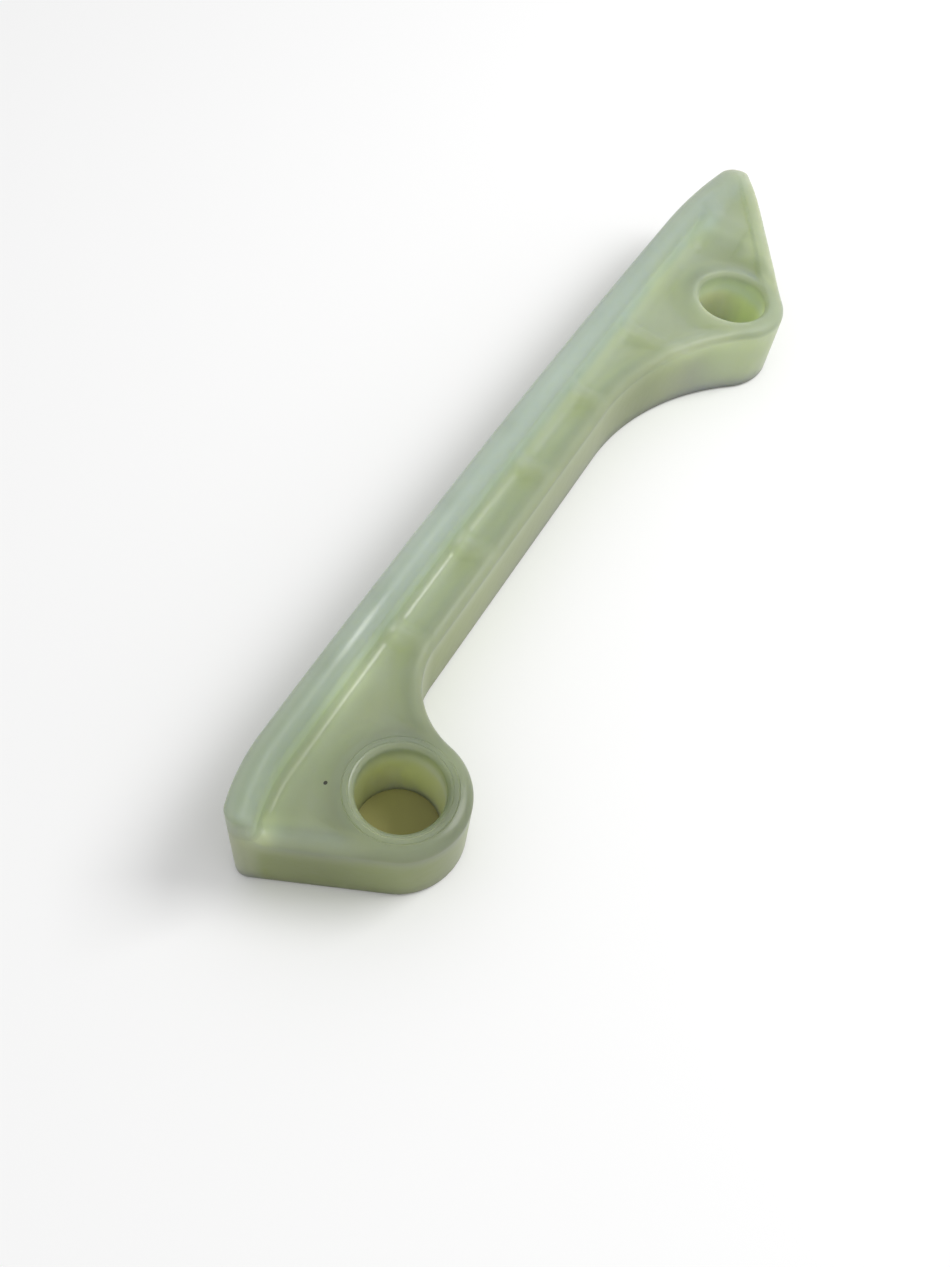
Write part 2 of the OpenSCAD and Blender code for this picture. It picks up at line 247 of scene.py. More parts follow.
# Distance-like field of the whole moulding, minus inside: floor, rim slab, ribs, seats and rail joined
# with fillets, then cut to the outline, the flat side, the bores and the cored pockets with rounded edges;
# without detail it has neither ribs nor pockets, which is what the tints go by
def guideField(x, y, z, detailed=True):
    g = guide
    p = plan
    edge = outlineDistance(x, y)
    face = faceDistance(x, y)
    boss = np.minimum(np.hypot(x, y), np.hypot(x - p["far"][0], y - p["far"][1]))
    fx = x - p["far"][0]
    fy = y - p["far"][1]
    wallRun = np.clip((fx * p["farT"][0] + fy * p["farT"][1]) / p["farLen"], 0, 1)
    wallSide = fx * p["farN"][0] + fy * p["farN"][1] - g["bossR"]
    onWall = smoothStep(*(np.array(g["endWallStep"]) - g["endWallT"]), wallSide)
    climb = (g["railH"] - g["rimH"]) * wallRun
    rimTop = g["rimH"] + climb * onWall
    slab = filletJoin(-(edge + g["rimW"]), boss - g["landR"], g["landJoinR"])
    byWall = smoothStep(g["rampSide"], -g["endWallT"], wallSide) * (fx > 0)
    byWall = byWall * smoothStep(*g["rampBoss"], boss)
    ramp = climb * np.maximum(smoothStep(*g["rampX"], fx), byWall)
    floorTop = between(g["floorZ"], smoothStep(*g["floorX"], x)) + ramp
    rimSlab = roundCut(slab, z - rimTop + g["rimSink"], g["rimInnerR"])
    body = filletJoin(z - floorTop, rimSlab, g["floorFillet"])
    ribs = np.full(np.broadcast(x, y, z).shape, farAway)
    for ribX in g["ribX"]:
        low, high = ribEnds(ribX)
        foot = low + g["rimW"] - g["ribBury"]
        ribTop = g["rimH"] + between(g["ribZ"], (y - foot) / (high - foot))
        ribs = np.minimum(ribs, roundCut(np.abs(x - ribX) - g["ribT"] / 2, z - ribTop, g["ribEdgeR"]))
    if detailed:
        body = filletJoin(body, ribs, g["ribFillet"])
    seat = roundCut(boss - g["seatR"], z - g["rimH"] - g["seatRise"], g["seatEdgeR"])
    body = filletJoin(body, seat, g["seatJoinR"])
    coveR = between(g["coveR"], smoothStep(*g["coveX"], x))
    body = filletJoin(body, -(face + g["railT"]), coveR)
    body = roundCut(body, z - g["railH"], g["railInnerR"])
    behind = smoothStep(*(np.array(g["railBehind"]) + g["railT"]), -face)
    body = roundCut(body, edge, between((g["rimEdgeR"], g["railEdgeR"]), behind))
    body = roundCut(body, -z, g["footR"])
    body = roundCut(body, g["boreR"] - boss, g["boreEdgeR"])
    chamferFoot = g["rimH"] + g["seatRise"] - g["boreChamfer"]
    body = roundCut(body, (g["boreR"] + z - chamferFoot - boss) / math.sqrt(2), g["boreEdgeR"])
    if detailed:
        pocket = roundCut(edge + g["wallT"], face + g["railT"], g["pocketCornerR"])
        pocket = roundCut(pocket, g["bossR"] - boss, g["pocketCornerR"])
        for ribX in g["ribX"]:
            pocket = roundCut(pocket, g["coreRibT"] / 2 - np.abs(x - ribX), g["pocketCornerR"])
        pocket = roundCut(pocket, z - g["coreZ"], g["pocketRoofR"])
        body = roundCut(body, -pocket, g["pocketMouthR"])
    return body


# Grid lines from low to high: steps of coarse, narrowing to fine inside each (from, to) band over a blend
# of 1 mm; lines stand at equal steps of the summed density, which is one over the step
def gradedLines(low, high, coarse, fine, bands):
    samples = 4000
    blend = 1.0
    s = np.linspace(low, high, samples)
    density = np.full(s.size, 1 / coarse)
    for start, end in bands:
        near = smoothStep(start - blend, start, s) * (1 - smoothStep(end, end + blend, s))
        density = np.maximum(density, 1 / coarse + (1 / fine - 1 / coarse) * near)
    total = np.concatenate([[0], np.cumsum(0.5 * (density[1:] + density[:-1]) * np.diff(s))])
    return np.interp(np.linspace(0, total[-1], int(math.ceil(total[-1])) + 1), total, s)


# Level surface of a field on a grid: one point in each cell that the surface crosses, at the mean of its
# edge crossings, and one four-sided face round each grid edge that it crosses
def levelSkin(xs, ys, zs, field):
    inside = field < 0
    count = sum(inside[i:i - 1 or None, j:j - 1 or None, k:k - 1 or None].astype(np.int8)
                for i in (0, 1) for j in (0, 1) for k in (0, 1))
    cells = np.argwhere((count > 0) & (count < 8))
    index = np.full(count.shape, -1)
    index[tuple(cells.T)] = np.arange(len(cells))
    lines = (xs, ys, zs)
    total = np.zeros((len(cells), 3))
    hits = np.zeros(len(cells))
    for axis in range(3):
        u, v = (axis + 1) % 3, (axis + 2) % 3
        for du in (0, 1):
            for dv in (0, 1):
                a = cells.copy()
                a[:, u] += du
                a[:, v] += dv
                b = a.copy()
                b[:, axis] += 1
                fa = field[tuple(a.T)]
                fb = field[tuple(b.T)]
                cross = (fa < 0) != (fb < 0)
                t = np.where(cross, fa / np.where(cross, fa - fb, 1), 0)
                point = np.empty((len(cells), 3))
                point[:, axis] = lines[axis][a[:, axis]] * (1 - t) + lines[axis][b[:, axis]] * t
                point[:, u] = lines[u][a[:, u]]
                point[:, v] = lines[v][a[:, v]]
                total += np.where(cross[:, None], point, 0)
                hits += cross
    points = total / hits[:, None]
    faces = []
    for axis in range(3):
        u, v = (axis + 1) % 3, (axis + 2) % 3
        lower = np.take(inside, range(inside.shape[axis] - 1), axis)
        upper = np.take(inside, range(1, inside.shape[axis]), axis)
        at = np.argwhere(lower != upper)
        rising = lower[tuple(at.T)]
        ring = []
        for du, dv in ((-1, -1), (0, -1), (0, 0), (-1, 0)):
            cell = at.copy()
            cell[:, u] += du
            cell[:, v] += dv
            ring.append(index[tuple(cell.T)])
        quad = np.stack(ring, 1)
        faces.append(np.where(rising[:, None], quad, quad[:, ::-1]))
    return points, np.concatenate(faces)


# Slope of the field at each point, by differences over a hundredth of a millimetre
def fieldSlope(points, detailed=True):
    h = 0.01
    slope = np.empty_like(points)
    for axis in range(3):
        step = np.zeros(3)
        step[axis] = h
        ahead = guideField(*(points + step).T, detailed=detailed)
        behind = guideField(*(points - step).T, detailed=detailed)
        slope[:, axis] = (ahead - behind) / (2 * h)
    return slope


# Grid for the skin, in mm: low end, high end, coarse step and fine step along each axis, and the bands
# that get the fine step; its points then settle on the surface in short steps
grid = {
    "x": (-14.8, 117.9, 0.56, 0.26), "xBands": [(-14.0, 9.0), (85.5, 102.5), (113.5, 117.0)],
    "ribReach": 1.6,
    "y": (-9.0, 16.6, 0.4, 0.26), "yBands": [(-8.2, -3.0), (3.0, 16.0)],
    "z": (-0.9, 16.0, 0.75, 0.21), "zBands": [(0.1, 0.4), (9.2, 11.0), (14.3, 15.3)],
    "settleRuns": 3, "settleStep": 0.25, "leastSlope": 0.2, "leastMove": 1e-9,
}
ribBands = [(x - grid["ribReach"], x + grid["ribReach"]) for x in guide["ribX"]]
xLines = gradedLines(*grid["x"], grid["xBands"] + ribBands)
yLines = gradedLines(*grid["y"], grid["yBands"])
zLines = gradedLines(*grid["z"], grid["zBands"])
field = guideField(xLines[:, None, None], yLines[None, :, None], zLines[None, None, :])
points, faces = levelSkin(xLines, yLines, zLines, field)
for settleRun in range(grid["settleRuns"]):
    slope = fieldSlope(points)
    size = np.maximum((slope * slope).sum(1), grid["leastSlope"])
    move = -(guideField(*points.T) / size)[:, None] * slope
    length = np.maximum(np.linalg.norm(move, axis=1, keepdims=True), grid["leastMove"])
    points = points + move * np.minimum(1, grid["settleStep"] / length)
points = np.clip(points, np.array(cadLow) / mm, np.array(cadHigh) / mm)
print("skin:", len(points), "points,", len(faces), "faces")


# Linear colour of an sRGB hex text: the low straight part over 12.92, the rest a power of 2.4
def linear(hexText):
    srgb = np.array([int(hexText[i:i + 2], 16) for i in (1, 3, 5)]) / 255
    rgb = np.where(srgb <= 0.04045, srgb / 12.92, ((srgb + 0.055) / 1.055) ** 2.4)
    return (*rgb.tolist(), 1.0)


# The same colour as an array of three
def linearRgb(hexText):
    return np.array(linear(hexText)[:3])


# How the milky nylon takes light, painted into its colour: pale and bluish along the rail and faintly so at
# thin edges, pale on the far neck, painted light of light carried through the nylon; olive in the thick
# floor, deeper on the near walls and in the patches before the ribs, painted shade; each mixed colour goes
# with the most of it that shows
tintsAndPaintedLight = {
    "body": "#a6b194",
    "mix": {"edge": ("#97a38f", 0.8), "rail": ("#9caaa3", 0.95), "patch": ("#a2ad84", 0.6),
            "wall": ("#93a35f", 1.0), "neck": ("#b6c4aa", 1.0)},
    # Painted light and shade too: hollowGain makes hollows paler, nearShade darkens the near end and
    # nearRimShade its rim, railWall and railGlow make the rail's inner wall paler at its foot, and foot
    # darkens the lowest 0.9 mm
    "depth": 2.4, "edgeRange": 1.7, "openReach": (3.0, 6.0, 9.0), "hollowGain": 0.36,
    "nearShade": (0.78, 0.78, 0.70), "nearShadeX": (-14, 32),
    "nearRimShade": (0.13, 0.12, 0.02), "tipBlue": 0.12,
    "railWall": 0.27, "railGlow": 0.3, "railGlowX": (8, 5),
    "foot": 0.8, "footZ": (0.9, 0.3),
}

# Painted light and shade on each surface: a gain above 1 makes it paler than the mixed colours, below 1
# darker;
# the first darkens the rail top over the sink marks as painted shade, with no dent in the surface
gains = {
    "sink": 0.92, "rim": 0.78, "rib": 0.9, "midFloor": 0.89, "nearFloor": 1.1, "corner": 1.16,
    "nearBoss": 0.8, "nearBossSide": 0.82, "nearSeat": 0.78, "farBoss": 0.92, "farSeat": 0.86,
    "neck": 1.2, "farBar": 1.14, "farRailTop": 0.91, "tipFoot": 1.13, "tip": 1.02, "tipLine": 1.08,
}

# Where each surface lies, in mm: a pair is a step from its first value to its second, by height (Z), place
# along the rail (X), distance from a bore's axis (R), the outline (Edge) or the chain face (Face); Lean and
# Turn go by the surface's direction, and a spot is its place and its spread
zones = {
    "boreWall": (0.05, 0.3), "boreZ": (10.3, 7.5), "topZ": (8.15, 9.25),
    "uprightLean": (0.75, 0.3), "uprightZ": (1.4, 0.7),
    "railZ": (10.4, 12.6), "railFace": (-6.5, -4.0), "railFarX": (85, 112), "railFarLoss": 0.5,
    "wallEdge": (-0.9, -0.3), "wallZ": (10.0, 6.5), "wallFace": (-2.0, -4.0),
    "wallFarX": (20, 50), "wallFarLoss": 0.6, "wallTurn": (0.1, 0.7), "wallTurnLoss": 0.5,
    "patchBefore": 2.6, "patchAside": 0.4, "patchSpread": 2.6, "patchWide": 0.32,
    "patchLowZ": (8.8, 9.3), "patchHighZ": (11.4, 10.6),
    "olive": ((102.4, 8.8, 1.8, 2.0), (109.0, 7.6, 2.4, 2.4), (90.0, 9.6, 4.0, 2.2), (7.5, 8.2, 4.0, 2.2)),
    "oliveZ": (9.0, 9.6),
    "ribSpread": 1.1, "ribLowZ": (9.45, 9.85), "ribHighZ": (12.2, 11.2), "ribEdge": (-1.5, -2.6),
    "rimEdge": (-4.4, -0.9), "rimZ": (9.05, 9.65), "rimFace": (-2.6, -3.8),
    "rimFromX": (4, 12), "rimToX": (84, 70),
    "neck": (86.0, -3.5, 12.0, 7.0), "neckZ": (10.05, 9.25),
    "railFoot": 0.6, "railFootZ": 11.6, "railFootSpread": (1.4, 2.2),
    "sinks": ((6.5, 13.9), (17.4, 14.3), (33.4, 14.5), (48.6, 14.5)),
    "sinkSpread": (1.8, 1.4), "sinkZ": 14.0,
    "corner": (-13.0, 9.5, 3.0, 3.0), "cornerZ": 10.65,
    "bossR": (9.5, 7.2), "bossZ": (8.15, 9.45), "nearBossSide": (-1.0, -7.2, 3.2, 2.6),
    "nearSeat": ((3.0, -6.5, 3.5, 3.0), (9.5, 1.5, 4.0, 4.0)), "farSeat": (94.0, 7.0, 4.5, 1.6),
    "farBar": (79.0, 2.0, 3.5, 4.5), "farRailTopX": (60, 90), "farRailTopZ": (13.0, 14.4),
    "tipFoot": (103.5, 7.6, 2.4, 3.0), "tip": (109.0, 7.5, 5.0, 5.0), "tipBlue": (107.0, 8.0, 5.0, 4.0),
    "tipLineX": (105, 0.8), "tipLineFace": (-3.2, -4.6), "tipLineEdge": (-1.2, -2.4), "tipLineZ": 9.0,
    "nearFloor": (0.0, 7.6, 5.0, 2.6), "midFloorX": (36, 13),
    "floorEdge": (-2.0, -3.5), "floorFace": (-4.2, -5.4),
    "nearRimEdge": (-3.2, -1.2), "nearRimZ": (8.05, 9.05), "nearRimR": (7.4, 9.2),
    "nearRimFace": (-4.0, -6.0), "nearRimX": 2.0,
}

# Light down the bores, dull yellow-green: pairs go from the near bore to the far one, or in the blue values
# from low to high in the bore; turns are degrees round the bore from the rail's direction
boreLight = {
    "near": "#b9c0ab", "far": "#dceac6", "farX": (20, 60), "halfWay": 50.0,
    "lit": (0.75, 0.4875), "litTurn": 48, "litZ": (9.5, 4.0), "dim": (0.08, 0.26), "dimTurn": -40,
    "spread": 32, "mouthDim": 0.12, "mouthDimZ": (6.5, 9.0),
    "blueZ": (6.5, 8.5), "blue": (0.15, 0.45), "blueLoss": (0.6, 0.75), "blueFrom": -45, "blueTo": (80, 95),
    "farBlue": (1.0, 0.5), "farMouthBlue": 0.2,
}

# Share of the full gloss that each surface keeps; a glint is kept on the rail where the photograph has one
glosses = {
    "bar": 0.3, "barX": (26, 46), "rib": 0.5, "rim": 0.3,
    "dullRail": 0.25, "railZ": (12.8, 14.0), "railFace": (-0.8, -1.6), "glintX": (12, 4),
    "dullCove": 0.45, "coveX": (11, -2), "coveLowZ": (8.85, 9.55), "coveHighZ": (12.15, 11.15),
    "coveFace": (-8.0, -6.0), "coveEdge": (-0.8, -1.8),
    "dullSeat": 0.6, "nearSeatAt": (3.0, -6.5, 4.0, 4.0),
}


# Soft hump of unit height: e to minus the square of the distance from its middle over its spread
def hump(value, at, spread):
    return np.exp(-((value - at) / spread) ** 2)


# Soft spot of unit height round (atX, atY), falling off over spreadX and spreadY as a hump does
def spot(x, y, atX, atY, spreadX, spreadY):
    return np.exp(-((x - atX) / spreadX) ** 2 - ((y - atY) / spreadY) ** 2)


# The highest of several spots
def spots(x, y, places):
    return np.max([spot(x, y, *place) for place in places], 0)


# Factor that is 1 where a share is 0 and the given amount where it is 1
def scaled(amount, share):
    return 1 + (amount - 1) * share


# Unit outward direction at each point: the field's slope over its own length
def outwardAt(points, detailed=True):
    least = 1e-6
    slope = fieldSlope(points, detailed)
    return slope / np.maximum(np.linalg.norm(slope, axis=1, keepdims=True), least)


# How far each point belongs to each surface, from 0 to 1: products of steps, humps and spots
def surfaceShares(points):
    s = zones
    x, y, z = points.T
    normal = outwardAt(points)
    edge = outlineDistance(x, y)
    face = faceDistance(x, y)
    nearR = np.hypot(x, y)
    farR = np.hypot(x - plan["far"][0], y - plan["far"][1])
    boreWall = np.minimum(nearR, farR) - guide["boreR"]
    bore = (1 - smoothStep(*s["boreWall"], boreWall)) * smoothStep(*s["boreZ"], z)
    top = smoothStep(*s["topZ"], z)
    upright = np.maximum(smoothStep(*s["uprightLean"], np.abs(normal[:, 2])), smoothStep(*s["uprightZ"], z))
    # The rail's share carries its painted light; the walls' olive, less where they face along +x and far
    # along the rail, is painted shade, and so are the patches before the ribs and the olive spots, where
    # concave corners hold shade
    rail = smoothStep(*s["railZ"], z) * smoothStep(*s["railFace"], face)
    rail = rail * (1 - s["railFarLoss"] * smoothStep(*s["railFarX"], x))
    wall = smoothStep(*s["wallEdge"], edge) * smoothStep(*s["wallZ"], z) * smoothStep(*s["wallFace"], face)
    wall = wall * upright
    wall = wall * (1 - s["wallFarLoss"] * smoothStep(*s["wallFarX"], x))
    wall = wall * (1 - s["wallTurnLoss"] * smoothStep(*s["wallTurn"], normal[:, 0]))
    besideRibs = []
    for ribX in guide["ribX"]:
        low, high = ribEnds(ribX)
        middle = (low + high) / 2 + s["patchAside"]
        reachY = s["patchWide"] * (high - low)
        besideRibs.append((ribX - s["patchBefore"], middle, s["patchSpread"], reachY))
    patch = spots(x, y, besideRibs) * smoothStep(*s["patchLowZ"], z) * smoothStep(*s["patchHighZ"], z)
    patch = np.maximum(patch, spots(x, y, s["olive"]) * smoothStep(*s["oliveZ"], z))
    rib = np.max([hump(x, ribX, s["ribSpread"]) for ribX in guide["ribX"]], 0)
    rib = rib * smoothStep(*s["ribLowZ"], z) * smoothStep(*s["ribHighZ"], z)
    rib = rib * smoothStep(*s["ribEdge"], edge)
    rim = smoothStep(*s["rimEdge"], edge) * smoothStep(*s["rimZ"], z) * smoothStep(*s["rimFace"], face)
    rim = rim * smoothStep(*s["rimFromX"], x) * smoothStep(*s["rimToX"], x)
    onBoss = smoothStep(*s["bossZ"], z)
    onFloor = top * smoothStep(*s["floorEdge"], edge) * smoothStep(*s["floorFace"], face)
    tipLine = hump(x, *s["tipLineX"]) * (z > s["tipLineZ"])
    tipLine = tipLine * smoothStep(*s["tipLineFace"], face) * smoothStep(*s["tipLineEdge"], edge)
    nearRim = smoothStep(*s["nearRimEdge"], edge) * smoothStep(*s["nearRimZ"], z) * (x < s["nearRimX"])
    nearRim = nearRim * smoothStep(*s["nearRimR"], nearR) * smoothStep(*s["nearRimFace"], face)
    farRailTop = smoothStep(*s["farRailTopX"], x) * smoothStep(*s["farRailTopZ"], z)
    g = glosses
    dullRail = smoothStep(*g["railZ"], z) * smoothStep(*g["railFace"], face) * (1 - hump(x, *g["glintX"]))
    dullCove = smoothStep(*g["coveX"], x) * smoothStep(*g["coveLowZ"], z) * smoothStep(*g["coveHighZ"], z)
    dullCove = dullCove * smoothStep(*g["coveFace"], face) * smoothStep(*g["coveEdge"], edge)
    return {
        "bore": bore, "rail": rail, "wall": wall, "patch": patch, "rib": rib,
        "rim": rim, "nearRim": nearRim,
        "neck": spot(x, y, *s["neck"]) * upright * smoothStep(*s["neckZ"], z),
        "railWall": spot(face, z, -guide["railT"] - s["railFoot"], s["railFootZ"], *s["railFootSpread"]),
        "sink": spots(x, y, [(*at, *s["sinkSpread"]) for at in s["sinks"]]) * (z > s["sinkZ"]),
        "corner": spot(x, y, *s["corner"]) * (z < s["cornerZ"]),
        "nearBoss": smoothStep(*s["bossR"], nearR) * onBoss,
        "farBoss": smoothStep(*s["bossR"], farR) * onBoss,
        "nearBossSide": (1 - bore) * spot(x, y, *s["nearBossSide"]),
        "nearSeat": top * spots(x, y, s["nearSeat"]), "farSeat": top * spot(x, y, *s["farSeat"]),
        "nearFloor": top * spot(x, y, *s["nearFloor"]), "midFloor": onFloor * hump(x, *s["midFloorX"]),
        "farBar": upright * spot(x, y, *s["farBar"]), "farRailTop": farRailTop,
        "tipFoot": top * spot(x, y, *s["tipFoot"]), "tip": spot(x, y, *s["tip"]),
        "tipLine": tipLine, "tipBlue": top * spot(x, y, *s["tipBlue"]),
        "dullRail": dullRail, "dullCove": dullCove, "dullSeat": top * spot(x, y, *g["nearSeatAt"]),
    }


# Colour of the bore walls: near colour to far colour along x, raised where the light falls in, lowered
# across from it, and bluer or yellower by the turn and the height; no channel ends above 1
def boreColours(points):
    b = boreLight
    x, y, z = points.T
    onFar = smoothStep(*b["farX"], x)
    byFar = x > b["halfWay"]
    turn = np.degrees(np.arctan2(y - plan["far"][1] * byFar, x - plan["far"][0] * byFar))
    lift = between(b["lit"], onFar) * hump(turn, b["litTurn"], b["spread"]) * smoothStep(*b["litZ"], z)
    lift = lift - between(b["dim"], onFar) * hump(turn, b["dimTurn"], b["spread"])
    lift = lift - b["mouthDim"] * onFar * smoothStep(*b["mouthDimZ"], z)
    nearColour = linearRgb(b["near"])
    colour = nearColour + onFar[:, None] * (linearRgb(b["far"]) - nearColour)
    colour = colour * (1 + lift)[:, None]
    up = smoothStep(*b["blueZ"], z)
    bluer = between(b["blue"], up)
    bluer = bluer - between(b["blueLoss"], up) * smoothStep(b["blueFrom"], between(b["blueTo"], up), turn)
    colour[:, 2] *= 1 + bluer * between(b["farBlue"], onFar) + b["farMouthBlue"] * up * onFar
    return colour / np.maximum(colour.max(1, keepdims=True), 1)


# Colour and gloss at each point: the body colour mixed with the others by their shares, times the gains,
# which are painted light and shade; edges are thin where the field stops falling soon behind the surface,
# and hollows are where it rises slowly in front, which makes them paler, painted light in place of the light
# that fills them;
# the bore colours, painted light down the bores, then cover their walls
def skinTintsAndPaintedLight(points):
    t = tintsAndPaintedLight
    x, y, z = points.T
    share = surfaceShares(points)
    outward = outwardAt(points, detailed=False)
    level = guideField(*points.T, detailed=False)
    behind = guideField(*(points - t["depth"] * outward).T, detailed=False)
    share["edge"] = smoothStep(0, 1, (behind - level + t["depth"]) / t["edgeRange"])
    ahead = [guideField(*(points + h * outward).T, detailed=False) / h for h in t["openReach"]]
    colour = linearRgb(t["body"])
    for name, (hexText, most) in t["mix"].items():
        colour = colour + (linearRgb(hexText) - colour) * (most * share[name])[:, None]
    # Painted light in the hollows and on the rail's inner wall, then the gains' painted light and shade;
    # below, painted shade on the near rim and the near end, and along the foot
    gain = 1 + t["hollowGain"] * np.clip(1 - np.mean(ahead, 0), 0, 1)
    gain = gain * (1 + (t["railWall"] + t["railGlow"] * hump(x, *t["railGlowX"])) * share["railWall"])
    for name, amount in gains.items():
        gain = gain * scaled(amount, share[name])
    colour = colour * (1 - np.array(t["nearRimShade"]) * share["nearRim"][:, None])
    colour[:, 2] *= 1 + t["tipBlue"] * share["tipBlue"]
    atNearEnd = 1 - smoothStep(*t["nearShadeX"], x)
    colour = colour * gain[:, None] * scaled(np.array(t["nearShade"]), atNearEnd[:, None])
    colour = colour + (boreColours(points) - colour) * share["bore"][:, None]
    colour = colour * scaled(t["foot"], smoothStep(*t["footZ"], z))[:, None]
    gloss = scaled(glosses["bar"], smoothStep(*glosses["barX"], x))
    for name in ("rib", "rim", "dullRail", "dullCove", "dullSeat"):
        gloss = gloss * scaled(glosses[name], share[name])
    return np.clip(np.column_stack([colour, gloss]), 0, 1)


skin = bpy.data.meshes.new("chainGuideSkin")
skin.from_pydata((points * mm).tolist(), [], faces.tolist())
layer = skin.attributes.new("tintAndPaintedLight", "FLOAT_COLOR", "POINT")
layer.data.foreach_set("color", skinTintsAndPaintedLight(points).astype(np.float32).ravel())
skin.polygons.foreach_set("use_smooth", np.ones(len(faces), bool))
skin.update()
moulding = bpy.data.objects.new("chainGuideSkin", skin)
bpy.context.scene.collection.objects.link(moulding)
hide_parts("chain_guide")
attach(moulding, "root")
print("moulding in place")


# Adds a node: settings are its own options, and each input, by name or number, is a value to set or a
# socket to link
def addNode(tree, kind, inputs=None, **settings):
    node = tree.nodes.new(kind)
    for name, value in settings.items():
        setattr(node, name, value)
    for key, value in (inputs or {}).items():
        if isinstance(value, bpy.types.NodeSocket):
            tree.links.new(value, node.inputs[key])
        else:
            node.inputs[key].default_value = value
    return node


# Natural nylon 66, injection moulded: milky and a little see-through, so edges and thin walls look
# pale and bluish, thick and sunk parts yellow-green, with a soft gloss from the polished mould
nylon = {
    "roughness": 0.28, "ior": 1.53, "specular": 0.5,
    "scatter": 1.0, "scatterMm": 12.0, "scatterRgb": (1.0, 1.0, 0.6),
    "mottleMm": 9.0, "mottleShade": (0.94, 1.06), "mottleDetail": 3.0,
    "speckAt": (-3.5, 7.3), "speckMm": 0.24, "speck": "#2e2f22", "speckSeek": 0.4,
    "rippleMm": 1.6, "rippleDeepMm": 0.03, "rippleDetail": 2.0,
    "ringFromMm": 5.05, "ringStepMm": 0.65, "ringHalfMm": 0.09, "ringDeepMm": 0.12,
    "seatMiddleMm": 6.0, "seatReachMm": 0.55,
}


# Colour is the tint, with its painted light and shade, times a faint mottle, with the speck painted in;
# gloss is the tint's alpha times the specular level; ripple and turned rings, ridges at equal steps of
# radius on the near seat, are bump
def nylonMaterial(n):
    material = bpy.data.materials.new("natural nylon, moulded")
    material.use_nodes = True
    tree = material.node_tree
    tree.nodes.clear()
    where = addNode(tree, "ShaderNodeTexCoord")
    tintAndPaintedLight = addNode(tree, "ShaderNodeAttribute", attribute_name="tintAndPaintedLight")
    mottle = addNode(tree, "ShaderNodeTexNoise", {
        "Vector": where.outputs["Object"], "Scale": 1 / (n["mottleMm"] * mm), "Detail": n["mottleDetail"],
    })
    shade = addNode(tree, "ShaderNodeMapRange", {
        "Value": mottle.outputs[0], 3: n["mottleShade"][0], 4: n["mottleShade"][1],
    })
    colour = addNode(tree, "ShaderNodeMix", {
        0: 1.0, 6: tintAndPaintedLight.outputs["Color"], 7: shade.outputs[0],
    }, data_type="RGBA", blend_type="MULTIPLY")
    speckX, speckY = n["speckAt"]
    speckZ = points[np.hypot(points[:, 0] - speckX, points[:, 1] - speckY) < n["speckSeek"], 2].max()
    away = addNode(tree, "ShaderNodeVectorMath", {
        0: where.outputs["Object"], 1: (speckX * mm, speckY * mm, speckZ * mm),
    }, operation="DISTANCE")
    onSpeck = addNode(tree, "ShaderNodeMath", {
        0: away.outputs[1], 1: n["speckMm"] * mm,
    }, operation="LESS_THAN")
    marked = addNode(tree, "ShaderNodeMix", {
        0: onSpeck.outputs[0], 6: colour.outputs[2], 7: linear(n["speck"]),
    }, data_type="RGBA")
    gloss = addNode(tree, "ShaderNodeMath", {
        0: tintAndPaintedLight.outputs["Alpha"], 1: n["specular"],
    }, operation="MULTIPLY")
    ripple = addNode(tree, "ShaderNodeTexNoise", {
        "Vector": where.outputs["Object"], "Scale": 1 / (n["rippleMm"] * mm), "Detail": n["rippleDetail"],
    })
    wavy = addNode(tree, "ShaderNodeBump", {
        "Strength": 1.0, "Distance": n["rippleDeepMm"] * mm, "Height": ripple.outputs[0],
    })
    flat = addNode(tree, "ShaderNodeVectorMath", {
        0: where.outputs["Object"], 1: (1, 1, 0),
    }, operation="MULTIPLY")
    radius = addNode(tree, "ShaderNodeVectorMath", {0: flat.outputs[0]}, operation="LENGTH")
    past = addNode(tree, "ShaderNodeMath", {
        0: radius.outputs[1], 1: n["ringFromMm"] * mm,
    }, operation="SUBTRACT")
    wave = addNode(tree, "ShaderNodeMath", {
        0: past.outputs[0], 1: n["ringStepMm"] * mm / 2,
    }, operation="PINGPONG")
    ridge = addNode(tree, "ShaderNodeMapRange", {
        "Value": wave.outputs[0], 1: 0.0, 2: n["ringHalfMm"] * mm, 3: 1.0, 4: 0.0,
    }, interpolation_type="SMOOTHSTEP")
    onSeat = addNode(tree, "ShaderNodeMath", {
        0: radius.outputs[1], 1: n["seatMiddleMm"] * mm, 2: n["seatReachMm"] * mm,
    }, operation="COMPARE")
    rings = addNode(tree, "ShaderNodeMath", {
        0: ridge.outputs[0], 1: onSeat.outputs[0],
    }, operation="MULTIPLY")
    ringed = addNode(tree, "ShaderNodeBump", {
        "Strength": 1.0, "Distance": n["ringDeepMm"] * mm, "Height": rings.outputs[0],
        "Normal": wavy.outputs[0],
    })
    shader = addNode(tree, "ShaderNodeBsdfPrincipled", {
        "Base Color": marked.outputs[2], "Roughness": n["roughness"], "IOR": n["ior"],
        "Specular IOR Level": gloss.outputs[0], "Normal": ringed.outputs[0],
        "Subsurface Weight": n["scatter"], "Subsurface Radius": n["scatterRgb"],
        "Subsurface Scale": n["scatterMm"] * mm,
    })
    addNode(tree, "ShaderNodeOutputMaterial", {"Surface": shader.outputs[0]})
    return material


moulding.data.materials.append(nylonMaterial(nylon))
print("nylon done")

